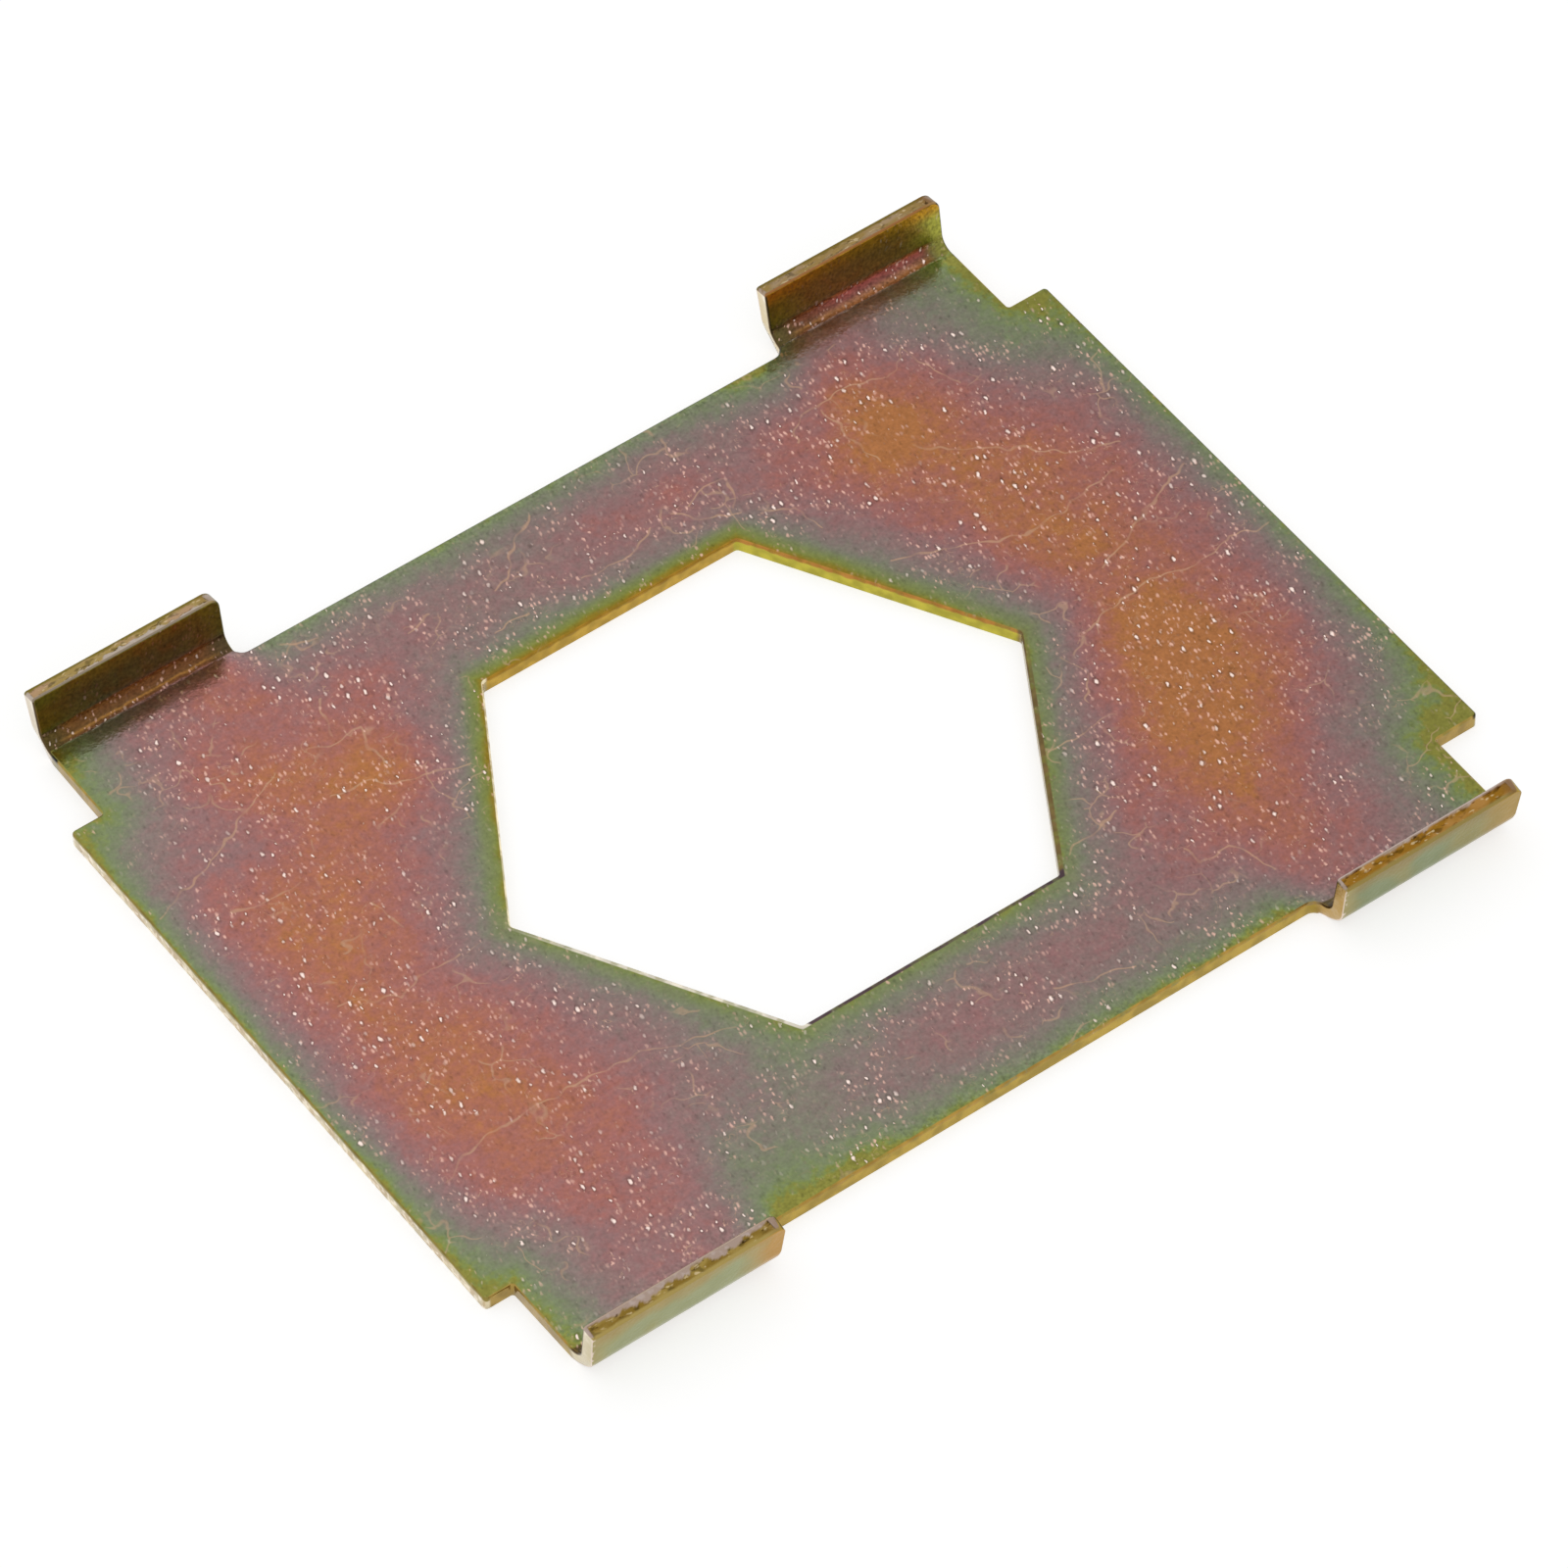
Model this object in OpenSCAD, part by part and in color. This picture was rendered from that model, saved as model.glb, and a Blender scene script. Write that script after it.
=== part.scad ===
// Lock plate: one flat piece of sheet steel with a hexagonal hole that drops over a
// large nut, and four tabs folded up at the ends of its two long edges.
// X runs along the long edges, Z points to the side that the tabs stand on, and the
// origin is at the middle of the hexagon, on the plate's underside.

/* [Sheet] */
// Thickness of the sheet
sheet_t = 1.5; // [1:0.1:2.5]

/* [Plate] */
// Distance from the hexagon's middle to the plate's left end
left_reach = 50.8; // [50:0.1:65]
// Distance from the hexagon's middle to the plate's right end
right_reach = 52.4; // [50:0.1:65]
// Width of the two ends, between the notches at the corners
end_w = 61.2; // [30:0.2:65]
// Width over the two long edges, between the tabs
plate_w = 76.4; // [66:0.2:100]
// Rounding of the ends' outer corners
end_corner_r = 0.4; // [0.1:0.1:0.9]
// Fillet in the corner notches
notch_r = 0.3; // [0.1:0.1:0.8]

/* [Hexagon] */
// Width of the hexagon across its flats, a little over the nut's own width
hex_af = 46.4; // [30:0.2:52]
// Width and depth of the rolled upper edge, where the punch went in
hex_roll = 0.25; // [0.1:0.05:0.6]

/* [Tabs] */
// Length over the outer ends of the two tabs on one long edge
tab_span = 95.8; // [80:0.2:96]
// How far the far pair of tabs sits to the right of the hexagon's middle
far_shift = 0.4; // [-1:0.1:1]
// How far the near pair of tabs sits to the right of the hexagon's middle
near_shift = -0.1; // [-1:0.1:1]
// Width of each tab along the long edge
tab_w = 19; // [12:0.5:30]
// Height of the tabs above the plate's upper face
tab_h = 5.2; // [3.6:0.1:15]
// How far the tabs lean outwards from square, in degrees
tab_lean = 8; // [0:1:20]
// Rounding of the tabs' upper corners
tab_corner_r = 0.3; // [0.1:0.1:1.5]
// Inner radius of the bends
bend_r = 1.5; // [0.5:0.1:2]
// Flat stretch between a long edge and the start of the bends
bend_setback = 0.5; // [0.3:0.1:5]
// Fillet where a tab's inner side meets the long edge
tab_root_r = 1.0; // [0.2:0.1:1.5]

/* [Hidden] */

sheet_colour = "#8a7350";

// Outer radius of the bends
bend_ro = bend_r + sheet_t;
// Angle that each tab is folded through
bend_angle = 90 - tab_lean;
// Distance from the middle line to the start of the bends
bend_y = plate_w / 2 + bend_setback;
// Length of the straight wall above each bend
tab_wall = (tab_h - bend_r * (1 - cos(bend_angle))) / sin(bend_angle);
// Distance from the middle of a pair of tabs to the inner side of each
tab_inner_x = tab_span / 2 - tab_w;

// Radius of the rolled edge's arc, and how far its centre lies from wall and top
roll_arc_r = 1.6 * hex_roll;
roll_centre = (hex_roll + sqrt(2 * pow(roll_arc_r, 2) - pow(hex_roll, 2))) / 2;

// How far shapes that are joined or cut reach into each other
lap = 0.5;
// Steps round the bends, round the small corners and round the rolled edge's arc
bend_fn = 96;
corner_fn = 48;
roll_fn = 64;

// Rounding added in a hollow corner at the origin: the free quarter is +X +Y
module corner_fill(r) {
    difference() {
        translate([-lap, -lap])
            square(r + lap);
        translate([r, r])
            circle(r, $fn = corner_fn);
    }
}

// What a rounding takes off a solid corner at the origin: the solid is at -X -Y
module corner_cut(r) {
    difference() {
        translate([-r, -r])
            square(r + lap);
        translate([-r, -r])
            circle(r, $fn = corner_fn);
    }
}

// Draws the same at both ends of one long edge and of the other
module four_corners() {
    for (side = [[far_shift, 0], [near_shift, 1]], end = [0, 1])
        translate([side[0], 0])
            mirror([0, side[1], 0])
                mirror([end, 0, 0])
                    children();
}

// Section of the cut along one side of the hexagon, from the middle outwards, with the
// roll at the top. Its arc is wider than the roll, so that it meets the wall and the
// upper face at a slight angle.
module hexagon_side_section() {
    translate([-hex_af, -lap])
        square([1.5 * hex_af, sheet_t + 2 * lap]);
    translate([hex_af / 2, sheet_t])
        difference() {
            translate([-lap, -roll_centre])
                square([lap + roll_centre, roll_centre + lap]);
            translate([roll_centre, -roll_centre])
                circle(roll_arc_r, $fn = roll_fn);
        }
}

// The hexagonal hole, its flats along the long edges: what lies inside all six sides
module hexagon() {
    intersection_for(i = [0:5])
        rotate(30 + 60 * i)
            rotate([90, 0, 0])
                linear_extrude(2 * hex_af, center = true)
                    hexagon_side_section();
}

// The full-length middle part, with rounded corners
module middle_plan() {
    difference() {
        translate([-left_reach, -end_w / 2])
            square([left_reach + right_reach, end_w]);
        for (end = [[right_reach, 0], [-left_reach, 1]], side = [0, 1])
            mirror([0, side])
                translate([end[0], end_w / 2])
                    mirror([end[1], 0])
                        corner_cut(end_corner_r);
    }
}

// One corner of the plate, seen from above: the strip beside the notch, the tab's blank
// beyond the long edge, and the fillets in the notch and at the tab's root
module corner_plan() {
    square([tab_span / 2, plate_w / 2]);
    translate([tab_span / 2, end_w / 2])
        corner_fill(notch_r);
    translate([tab_inner_x, 0])
        square([tab_w, 2 * bend_y]);
    translate([tab_inner_x, plate_w / 2])
        mirror([1, 0])
            corner_fill(tab_root_r);
}

// Outline of all that stays flat, without the hexagon
module flat_outline() {
    middle_plan();
    four_corners()
        intersection() {
            corner_plan();
            square([tab_span, bend_y]);
        }
}

// Section through one tab from the start of its bend, with Y outwards and Z up
module tab_section() {
    reach = 2 * bend_ro;
    translate([0, bend_ro]) {
        intersection() {
            difference() {
                circle(bend_ro, $fn = bend_fn);
                circle(bend_r, $fn = bend_fn);
            }
            translate([0, -reach])
                square(reach);
            rotate(bend_angle)
                translate([-reach, -reach])
                    square(reach);
        }
        rotate(bend_angle)
            translate([0, -bend_ro])
                square([tab_wall, sheet_t]);
    }
}

// Folds what lies flat beyond the start of a bend up into the tab's wall
module fold() {
    translate([0, bend_y, bend_ro])
        rotate([bend_angle, 0, 0])
            translate([0, 0, -bend_ro])
                children();
}

// The tab at the right end of the far long edge
module tab() {
    difference() {
        intersection() {
            translate([tab_inner_x - tab_root_r, bend_y, 0])
                rotate([90, 0, 90])
                    linear_extrude(tab_w + tab_root_r)
                        tab_section();
            linear_extrude(2 * (sheet_t + tab_h))
                corner_plan();
        }
        for (end = [0, 1])
            fold()
                translate([tab_inner_x + tab_w * end, tab_wall, -lap])
                    linear_extrude(sheet_t + 2 * lap)
                        mirror([1 - end, 0])
                            corner_cut(tab_corner_r);
    }
}

// The whole plate, blanked, pierced and folded from one sheet
module lock_plate() {
    color(sheet_colour)
        difference() {
            union() {
                linear_extrude(sheet_t)
                    flat_outline();
                four_corners()
                    tab();
            }
            hexagon();
        }
}

lock_plate();
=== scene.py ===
"""Dresses the lock plate: one piece of yellow-chromated sheet steel, blanked, pierced and folded.

The plate is modelled flat, in millimetres, and its four tabs are then folded up.
Each point keeps its place in the flat blank, which the finish reads.
"""

import math
from types import SimpleNamespace

import bmesh
import bpy
from mathutils import Matrix, Quaternion, Vector, noise


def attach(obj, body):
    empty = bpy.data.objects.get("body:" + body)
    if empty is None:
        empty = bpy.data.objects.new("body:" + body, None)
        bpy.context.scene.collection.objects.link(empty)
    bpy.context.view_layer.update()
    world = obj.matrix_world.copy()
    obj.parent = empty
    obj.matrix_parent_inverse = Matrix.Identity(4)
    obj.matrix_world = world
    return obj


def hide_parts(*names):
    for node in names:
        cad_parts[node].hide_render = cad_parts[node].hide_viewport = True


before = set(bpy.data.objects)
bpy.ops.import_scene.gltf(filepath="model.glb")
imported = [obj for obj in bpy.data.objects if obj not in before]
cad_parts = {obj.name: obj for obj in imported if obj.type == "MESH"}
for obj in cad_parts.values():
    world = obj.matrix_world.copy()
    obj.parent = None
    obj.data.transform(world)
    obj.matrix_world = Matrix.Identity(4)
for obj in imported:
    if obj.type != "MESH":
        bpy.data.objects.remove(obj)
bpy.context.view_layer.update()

MM = 0.001
TINY = 1e-4
# Faces that meet at less than this look like one smooth face
SMOOTH_ANGLE = math.radians(35)

# Sizes of the sheet in millimetres. They are the CAD's, but for what the comments name
SHEET = 1.5
LEFT_END, RIGHT_END = -50.8, 52.4
END_HALF_WIDTH = 30.6
LONG_EDGE = 38.2
TAB_OUTSIDE, TAB_INSIDE = 47.9, 28.9
TAB_MIDDLE, HALF_TAB = (TAB_OUTSIDE + TAB_INSIDE) / 2, (TAB_OUTSIDE - TAB_INSIDE) / 2
# How far the outer and the inner ends of each pair of tabs sit to the right. The CAD shifts
# the inner ends as far as the outer ones
FAR_SHIFT, NEAR_SHIFT = (0.4, 0.45), (-0.1, 0.15)
END_CORNER_R, NOTCH_R, TAB_ROOT_R, TAB_CORNER_R = 0.4, 0.3, 1.0, 0.3
# The right corner of each tab is worn, and the CAD has it like the left one
WORN_CORNER_R = 1.0
BEND_START = 38.7
BEND_R = 1.5
BEND_ANGLE = math.radians(82)
TAB_HEIGHT = 5.2
TAB_WALL = (TAB_HEIGHT - BEND_R * (1 - math.cos(BEND_ANGLE))) / math.sin(BEND_ANGLE)
# The sheet keeps its length at this radius in a bend
NEUTRAL_R = BEND_R + 0.4 * SHEET
BEND_LENGTH = BEND_ANGLE * NEUTRAL_R
BEND_END = BEND_START + BEND_LENGTH
TAB_TOP = BEND_END + TAB_WALL
BEND_STEPS = 24
HEXAGON_FLATS = 46.4
HEXAGON_CORNERS = HEXAGON_FLATS / math.cos(math.radians(30))
# The hexagon's corners are worn, and the CAD has them sharp
HEXAGON_CORNER_R = 0.4

# The upper arris is rolled where the punches went in, and the lower one is only broken
HEXAGON_ROLL = 0.25
OUTLINE_ROLL = 0.22
LOWER_BREAK = 0.05
# How much is rubbed off the outer arris at the ends of the far and of the near tabs, how
# far up into the sheet, and how far from the end
FAR_RUB, NEAR_RUB, RUB_HEIGHT, RUB_LENGTH = 0.08, 0.3, 0.4, 1.2
# How deep into the sheet the punch sheared each tab's end smoothly before it tore: the far
# left tab, the far right one, the near left one and the near right one
SHEARED = (0.46, 0.14, 0.56, 0.28)
# How far short the torn part is on average, and how wide its step to the smooth part is
TORN_SHORT, TORN_STEP = 0.12, 0.08
# How far a bend draws its outer fibres in at the ends of a tab, how far it pushes the inner
# ones out, and how far along the tab and round the bend that reaches
DRAWN_IN, PUSHED_OUT, DRAW_REACH = 0.36, 0.12, 1.5

# How far in from each kind of cut edge the film stays thin, and how thick it gets past
# that, where 1 is the thickest film in the list of its colours
THIN_FROM_LEFT_END, THIN_FROM_RIGHT_END, THIN_FROM_LONG_EDGE = 3.5, 5.0, 6.5
THIN_FROM_NOTCH, THIN_FROM_HEXAGON = 5.5, 6.0
FULL_FILM = 1.05
# How far outside the cut edge the film's own outline lies: at the right end, along the near
# side and along the far side
PAST_RIGHT_END, PAST_NEAR_SIDE, PAST_FAR_SIDE = 0.25, -0.15, 0.25
# Where the film is thinner or thicker than its distance from the edges would make it:
# place, size and how much, placed on a five-millimetre grid
FILM_PATCHES = (
    (30, 25, 5, 0.2), (35, 5, 5, 0.15), (35, -5, 5, 0.15), (35, -15, 10, 0.15),
    (45, 25, 5, -0.15), (45, -25, 10, -0.15), (10, 30, 10, 0.15), (-20, 35, 10, 0.1),
    (0, -35, 10, 0.1), (-25, -30, 10, -0.3), (-30, -15, 5, -0.1), (-40, 20, 5, -0.15),
    (-25, 20, 5, 0.15), (-30, 30, 5, -0.1), (40, 35, 5, -0.2), (30, 40, 5, -0.25),
)
# The sizes of the finer patches in millimetres, and how uneven each makes the film
FILM_GRAIN = ((4.0, 0.24), (1.6, 0.22), (0.5, 0.22))

# The film's colour from its thinnest to its thickest. Of each list of colours, the first
# and the second are its two ends
FILM_COLOURS = (
    (0.0, "#85833e"), (1.0, "#ac7146"), (0.05, "#7c874b"), (0.09, "#7a8659"),
    (0.16, "#798363"), (0.30, "#7d7c6c"), (0.44, "#857570"), (0.62, "#916d6c"),
    (0.765, "#9e6862"), (0.88, "#a66a56"),
)
# The film's colour beside the hexagon, from its edge to this many millimetres away
HEXAGON_FILM_REACH = 2.5
HEXAGON_FILM = (
    (0.0, "#8e7226"), (1.0, "#7a8058"), (0.28, "#8a7628"), (0.38, "#827e34"),
    (0.48, "#7d8343"), (0.68, "#7a8250"),
)
# The film across the inner side of a bend, from the plate to the wall, where the tools
# rubbed it: on the left tabs and on the right ones
BEND_FILM = (
    ((0.0, "#6c4430"), (1.0, "#7a501f"), (0.22, "#603b18"), (0.30, "#90652e"),
     (0.38, "#604020"), (0.7, "#5c3616")),
    ((0.0, "#8a5426"), (1.0, "#b0682e"), (0.22, "#88542a"), (0.32, "#9a6848"),
     (0.5, "#7c4840"), (0.75, "#8a403a")),
)
# The cut sides of the hexagon: in which direction each lies and how far out, and the
# colours of its rolled edge and of its wall. These colours are partly the gold of cut metal
# and partly painted light and shade for the way each side faces: the pale rolled edges on
# the left are painted highlights, and the dark ones are painted shade
HEXAGON_REACH = HEXAGON_FLATS / 2
HEXAGON_SIDES = (
    (90, HEXAGON_REACH, "#9c762a", "#b8963c"), (30, HEXAGON_REACH, "#b07c3c", "#b9ae40"),
    (330, HEXAGON_REACH, "#74603c", "#a08a4c"), (270, HEXAGON_REACH, "#544448", "#8f8468"),
    (210, HEXAGON_REACH, "#e4dccb", "#a89a78"), (150, HEXAGON_REACH, "#f2e4c0", "#b0a070"),
)
# The same for the plate's four sides. The dark rolled edges of the right end and of the far
# side are painted shade, and the cream wall of the left end is painted light
OUTER_SIDES = (
    (0, RIGHT_END, "#3c3620", "#a08a48"), (90, LONG_EDGE, "#2c2a26", "#8f8460"),
    (180, -LEFT_END, "#8c7c40", "#d4c6a4"), (270, LONG_EDGE, "#a88640", "#b0953f"),
)
CUT_GOLD = "#a58a48"
# A painted highlight, laid on the left ends of the tabs and of the plate
PAINTED_HIGHLIGHT = "#fff4e2"
PALE_ARRIS = "#e6d3c4"
# The colours of the tabs: the far left one, the far right one, the near left one and the
# near right one. Where there are two, the near tabs have those of the far ones
TAB_COLOURS = {
    "inner arris": ("#8e806e", "#98683c", "#b49f8d", "#bba9a0"),
    "sheared": ("#b4a698", "#947a5c", "#a69184", "#a08c7c"),
    "torn": ("#a28a52", "#967c4a", "#846a2c", "#926820"),
    "torn in places": ("#b0906e", "#a08868", "#9c8444", "#a87c40"),
    "rim": ("#7a6b2e", "#77652e", "#a69154", "#938049"),
    # The creamy colours of the left ends are painted light, as those ends face the light
    "left end": ("#d6c9b2", "#d8c69c", "#cdc09a", "#b48f3a"),
    "right end": ("#8a7434", "#937542", "#b88c3d", "#a8893d"),
    "inner face, left": ("#815d22", "#8f8428"),
    "inner face": ("#5b5f2a", "#9e7535"),
    "inner face, right": ("#796e27", "#a3a342"),
    "inner face, top": ("#7c721f", "#c48f1e"),
    "outer face": ("#8f9668", "#8f9668", "#9ca073", "#858e64"),
    "outer face in places": ("#a0985e", "#a0985e", "#a4a06a", "#948c54"),
}
# The long scratches and the shorter ones beside them, point by point
SCRATCHES = (
    ((22.5, 13), (25, 12.4), (28, 11.2), (33.5, 8.6), (37, 8.8), (44.5, 10)),
    ((30, -3.9), (35, -2.5), (39.5, -1.9), (41.5, -2.6), (45, -2.9), (47.5, -2.2), (51, -3)),
    ((24, 29), (26, 31.2), (31, 31.7), (35, 30.4), (37.8, 32.2), (38.6, 29), (39.5, 26)),
    ((28.1, 31), (28.2, 25), (28.8, 23)),
    ((32, 22.5), (34, 20.5), (38, 17.8), (42, 14.2), (46.5, 12.1)),
    ((37, 1.9), (41, 3.4), (46, 5.5), (49.5, 6.9)),
    ((0, 27.5), (5, 27.2), (8, 28.6)),
    ((10.5, 29.1), (12.5, 26.8), (15.5, 25.3)),
    ((12, 28.8), (14.5, 29.8), (16.6, 29.2), (15.5, 26.5)),
    ((17, 24.5), (19.5, 23), (20.2, 20)),
    ((28, -4.5), (28.8, -7), (26.8, -9.5)),
    ((21, -12), (28, -12.2)),
    ((23.5, -27.5), (24, -29.3), (26.5, -29.5), (28.5, -33.5)),
    ((5.5, -32.8), (12.5, -34.8)),
    ((15.5, -21.7), (21, -20.8)),
    ((-50, 18.2), (-44.5, 20.3), (-39, 23), (-33, 25.3)),
    ((-44.5, 15), (-43, 14.3), (-38.5, 14.2)),
    ((-43, 1.8), (-38.5, -0.8), (-35, 0.2), (-32, 0)),
    ((-46.5, -18.9), (-43.5, -17.2), (-38.5, -16.8), (-28, -17.3), (-18, -19.9)),
    ((-31, 20.5), (-28.5, 20.3), (-25, 18.3), (-19.7, 16.4)),
    ((-30, 15.3), (-27.5, 15.6), (-26, 17)),
    ((-29.5, 26), (-28, 25.2), (-25, 25.2), (-25.5, 21)),
    ((-25.5, 30), (-27.2, 26)),
    ((-7, 31), (-5, 31.5), (-3.5, 33.5), (0.5, 36)),
    ((-15.5, 31.6), (-12.8, 32)),
    ((-9.5, 27.2), (-6, 27.3)),
    ((-35, 9), (-34, 5)),
    ((-25, 37), (-22, 35.5)),
)

# The photograph's view, in millimetres and degrees
CAMERA_PLACE, CAMERA_AIM = Vector((-304.943, -441.372, 659.065)), Vector((1.284, -0.394, 0))
CAMERA_ROLL = math.radians(-1.611)
CAMERA_LENS, CAMERA_SENSOR = 229.63, 36
# The studio: its light on the plate, the white that the camera and the metal see, and how
# much of that white the table adds to the light that falls on it
SOFT_LIGHT, WHITE, TABLE_GLOW = 0.6, 1.0, 0.66


def pick(kind, test):
    """Selects the vertices, edges or faces that pass the test, and nothing else."""
    bpy.ops.mesh.select_mode(type=kind)
    bpy.ops.mesh.select_all(action="DESELECT")
    mesh = bmesh.from_edit_mesh(bpy.context.object.data)
    for part in {"VERT": mesh.verts, "EDGE": mesh.edges, "FACE": mesh.faces}[kind]:
        if test(part):
            part.select_set(True)
    mesh.select_flush_mode()
    bmesh.update_edit_mesh(bpy.context.object.data)


def middle(part):
    """The middle of an edge or a face."""
    return sum((v.co for v in part.verts), Vector()) / len(part.verts)


def clamp(value):
    """Keeps a share between 0 and 1."""
    return min(max(value, 0), 1)


def draw_outline():
    """The outline of the blank, as one flat face: a middle band, corner strips and tabs."""
    bpy.ops.mesh.primitive_plane_add(size=1)
    bpy.ops.object.mode_set(mode="EDIT")
    bpy.ops.transform.resize(value=(RIGHT_END - LEFT_END, 2 * END_HALF_WIDTH, 1))
    bpy.ops.transform.translate(value=((LEFT_END + RIGHT_END) / 2, 0, 0))
    for x in (-TAB_OUTSIDE, -TAB_INSIDE, TAB_INSIDE, TAB_OUTSIDE):
        bpy.ops.mesh.select_all(action="SELECT")
        bpy.ops.mesh.bisect(plane_co=(x, 0, 0), plane_no=(1, 0, 0), threshold=TINY)
    for side, shift in ((1, FAR_SHIFT), (-1, NEAR_SHIFT)):
        strip = (END_HALF_WIDTH, LONG_EDGE, -1)
        tabs = (LONG_EDGE, TAB_TOP, TAB_INSIDE)
        for start, end, inside in (strip, tabs):
            pick("EDGE", lambda e: inside < abs(middle(e).x) < TAB_OUTSIDE
                 and all(abs(v.co.y - side * start) < TINY for v in e.verts))
            bpy.ops.mesh.extrude_region_move(
                TRANSFORM_OT_translate={"value": (0, side * (end - start), 0)})
        for nearest, furthest, move in (
                (TAB_INSIDE, TAB_OUTSIDE, shift[0]), (0, TAB_INSIDE, shift[1])):
            pick("VERT", lambda v: side * v.co.y > END_HALF_WIDTH - TINY
                 and nearest + TINY < abs(v.co.x) < furthest + TINY)
            bpy.ops.transform.translate(value=(move, 0, 0))
    bpy.ops.mesh.select_all(action="SELECT")
    bpy.ops.mesh.dissolve_limited(angle_limit=math.radians(1))


def round_corners():
    """Rounds the corners of the blank. The tabs' shift has moved some of them a little."""
    most_shift = 0.6
    corners = (
        (TAB_TOP, -TAB_OUTSIDE, TAB_CORNER_R), (TAB_TOP, -TAB_INSIDE, WORN_CORNER_R),
        (TAB_TOP, TAB_INSIDE, TAB_CORNER_R), (TAB_TOP, TAB_OUTSIDE, WORN_CORNER_R),
        (LONG_EDGE, -TAB_INSIDE, TAB_ROOT_R), (LONG_EDGE, TAB_INSIDE, TAB_ROOT_R),
        (END_HALF_WIDTH, -TAB_OUTSIDE, NOTCH_R), (END_HALF_WIDTH, TAB_OUTSIDE, NOTCH_R),
        (END_HALF_WIDTH, LEFT_END, END_CORNER_R), (END_HALF_WIDTH, RIGHT_END, END_CORNER_R),
    )
    for y, x, radius in corners:
        pick("VERT", lambda v: abs(abs(v.co.y) - y) < TINY and abs(v.co.x - x) < most_shift)
        bpy.ops.mesh.bevel(offset=radius, segments=8, profile=0.5, affect="VERTICES")


def flat_blank():
    """The flat blank, without its hexagonal hole."""
    draw_outline()
    round_corners()
    bpy.ops.mesh.select_all(action="SELECT")
    bpy.ops.mesh.extrude_region_move(TRANSFORM_OT_translate={"value": (0, 0, SHEET)})
    bpy.ops.mesh.select_all(action="SELECT")
    bpy.ops.mesh.normals_make_consistent(inside=False)
    bpy.ops.object.mode_set(mode="OBJECT")
    return bpy.context.object


def punch_hexagon(sheet):
    """Cuts the hexagonal hole with a punch whose corners are slightly worn."""
    # Half the turn from one corner of the hexagon to the next
    half_side = math.radians(30)
    bpy.ops.mesh.primitive_cylinder_add(
        vertices=6, radius=HEXAGON_CORNERS / 2, depth=4 * SHEET, rotation=(0, 0, half_side))
    punch = bpy.context.object
    bpy.ops.object.mode_set(mode="EDIT")
    pick("EDGE", lambda e: abs(e.verts[0].co.z - e.verts[1].co.z) > SHEET)
    bpy.ops.mesh.bevel(offset=HEXAGON_CORNER_R * math.tan(half_side), segments=6, profile=0.5)
    bpy.ops.object.mode_set(mode="OBJECT")
    bpy.ops.object.select_all(action="DESELECT")
    sheet.select_set(True)
    bpy.context.view_layer.objects.active = sheet
    cut = sheet.modifiers.new("punch", "BOOLEAN")
    cut.operation = "DIFFERENCE"
    cut.solver = "EXACT"
    cut.object = punch
    bpy.ops.object.modifier_apply(modifier=cut.name)
    bpy.data.objects.remove(punch)


def is_rim(level, hexagon):
    """A test for the edges where the face at that level meets a cut wall."""
    def passes(edge):
        if any(abs(v.co.z - level) > TINY for v in edge.verts) or len(edge.link_faces) != 2:
            return False
        wall, face = sorted(abs(f.normal.z) for f in edge.link_faces)
        inside = middle(edge).xy.length < HEXAGON_CORNERS / 2 + TINY
        return wall < 0.5 < face and inside == hexagon
    return passes


def round_arrises():
    """Rolls the upper arrises and breaks the lower ones."""
    bpy.ops.object.mode_set(mode="EDIT")
    for level, hexagon, width, segments in (
            (SHEET, True, HEXAGON_ROLL, 6), (SHEET, False, OUTLINE_ROLL, 5),
            (0, True, LOWER_BREAK, 2), (0, False, LOWER_BREAK, 2)):
        pick("EDGE", is_rim(level, hexagon))
        bpy.ops.mesh.bevel(offset=width, segments=segments, profile=0.5, affect="EDGES",
                           clamp_overlap=False)
    bpy.ops.object.mode_set(mode="OBJECT")


def rubbed_off(y, z):
    """How much is rubbed off the outer arris at the end of a tab."""
    rub = FAR_RUB if y > 0 else NEAR_RUB
    near_end = clamp((abs(y) - TAB_TOP) / RUB_LENGTH + 1)
    return rub * max(0, 1 - z / RUB_HEIGHT) ** 2 * near_end


def torn_share(x, y, z):
    """From 0 where the punch sheared a tab's end smoothly to 1 where it tore. The smooth band
    is deepest at the middle of the tab."""
    off_middle = abs(abs(x) - TAB_MIDDLE) / HALF_TAB
    smooth = SHEARED[(0 if y > 0 else 2) + (x > 0)] * (1.2 - 0.9 * off_middle ** 2)
    smooth *= 1 + 0.7 * noise.noise((x * 0.4, y, 1)) + 0.8 * noise.noise((x * 1.7, y, 2))
    return clamp(0.5 + (SHEET - smooth - z) / TORN_STEP)


def torn_depth(x, y, z):
    """How far short a lumpy torn end is, less so just above the outer arris."""
    coarse, fine = noise.noise((x * 1.1, y, z * 2.5)), noise.noise((x * 4, y, z * 5))
    return max(TORN_SHORT + 0.16 * coarse + 0.10 * fine, 0) * min(1, (z - LOWER_BREAK) / 0.2)


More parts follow.
